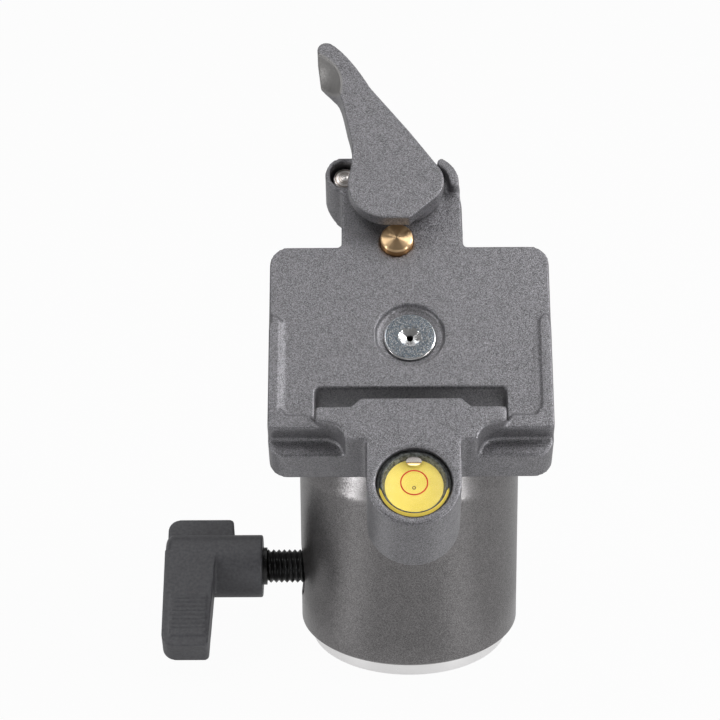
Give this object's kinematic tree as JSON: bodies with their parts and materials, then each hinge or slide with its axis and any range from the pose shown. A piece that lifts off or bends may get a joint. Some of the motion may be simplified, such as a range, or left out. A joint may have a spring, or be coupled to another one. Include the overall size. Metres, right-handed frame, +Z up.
{
  "type": "tripod ball head",
  "caption": "Tripod ball head: a cylindrical body with a side lock knob, a tilting ball and a camera-plate clamp with a cam lever and a round spirit level.",
  "frame": {"origin": "centre of the base's underside, on the body's axis", "axes": "+Z up along the body, -Y to the front where the head tips and the drop notch is, -X to the lock knob"},
  "size_m": [0.0883, 0.0987, 0.1365],
  "materials": {
    "speckled_paint": "satin",
    "turned_aluminium": "satin",
    "ball_metal": "satin",
    "steel": "satin",
    "zinc_steel": "gloss",
    "worn_steel": "satin",
    "black_steel": "satin",
    "brass": "satin",
    "dark_plastic": "matte",
    "acetal": "satin",
    "vial_plastic": "gloss",
    "yellow_dial": "gloss",
    "red_print": "gloss",
    "clear_lens": "gloss",
    "bubble": "gloss"
  },
  "bodies": {
    "base": {"base_plate": "turned_aluminium", "pan_retainer": "steel", "retainer_screws": "steel"},
    "body": {"housing": "speckled_paint", "upper_seat": "acetal", "core_block": "turned_aluminium", "stud_bush": "steel", "bearing_ring": "turned_aluminium", "pan_washer": "acetal"},
    "wedge": {"thrust_wedge": "steel"},
    "lift": {"lift_piston": "turned_aluminium", "disc_springs": "steel", "lower_cup": "acetal"},
    "knob": {"lock_stud": "black_steel", "knob_insert": "black_steel", "knob": "dark_plastic"},
    "ball": {"ball_stem": "ball_metal", "slip_washer": "acetal", "centre_screw": "zinc_steel"},
    "head": {"platform": "speckled_paint", "vial_cup": "vial_plastic", "level_dial": "yellow_dial", "level_ring": "red_print", "level_lens": "clear_lens", "air_bubble": "bubble", "lever_spring": "steel", "plunger_spring": "steel", "detent_spring": "steel"},
    "lever": {"lever": "speckled_paint", "lever_shaft": "steel", "shaft_clip": "steel"},
    "plunger": {"plunger": "brass", "plunger_clip": "steel"},
    "detent": {"detent_pin": "worn_steel"}
  },
  "joints": [
    {"name": "pan", "type": "hinge", "parent": "base", "child": "body", "pos_m": [0, 0, 0.005], "axis": [0, 0, 1], "continuous": true},
    {"name": "wedge_slide", "type": "slide", "parent": "body", "child": "wedge", "axis": [1, 0, 0], "range_m": [-0.00125, 0]},
    {"name": "lock_turn", "type": "hinge", "parent": "wedge", "child": "knob", "pos_m": [-0.03, 0, 0.0165], "axis": [1, 0, 0], "range_deg": [-361, 0]},
    {"name": "cup_lift", "type": "slide", "parent": "body", "child": "lift", "axis": [0, 0, 1], "range_m": [-0.000593, 0]},
    {"name": "ball_tilt", "type": "hinge", "parent": "body", "child": "ball", "pos_m": [0, 0, 0.0546], "axis": [1, 0, 0], "range_deg": [-87, 49]},
    {"name": "head_turn", "type": "hinge", "parent": "ball", "child": "head", "pos_m": [0, 0, 0.0546], "axis": [0, -0.6018, 0.7986], "continuous": true},
    {"name": "lever_close", "type": "hinge", "parent": "head", "child": "lever", "pos_m": [-0.0012, 0.005, 0.10945], "axis": [0, -0.6018, 0.7986], "range_deg": [0, 60]},
    {"name": "plunger_press", "type": "slide", "parent": "head", "child": "plunger", "axis": [0, 0.6018, -0.7986], "range_m": [0, 0.002], "stiffness_N_per_m": 300, "springref_m": -0.002, "deforming": ["plunger_spring"]},
    {"name": "detent_press", "type": "slide", "parent": "head", "child": "detent", "axis": [0, 0.6018, -0.7986], "range_m": [0, 0.0025], "stiffness_N_per_m": 300, "springref_m": -0.002, "deforming": ["detent_spring"]}
  ],
  "couplings": [
    {"joint": "lock_turn", "follows": "wedge_slide", "rad_per_m": 5026.5},
    {"joint": "cup_lift", "follows": "wedge_slide", "ratio": 0.46631}
  ]
}
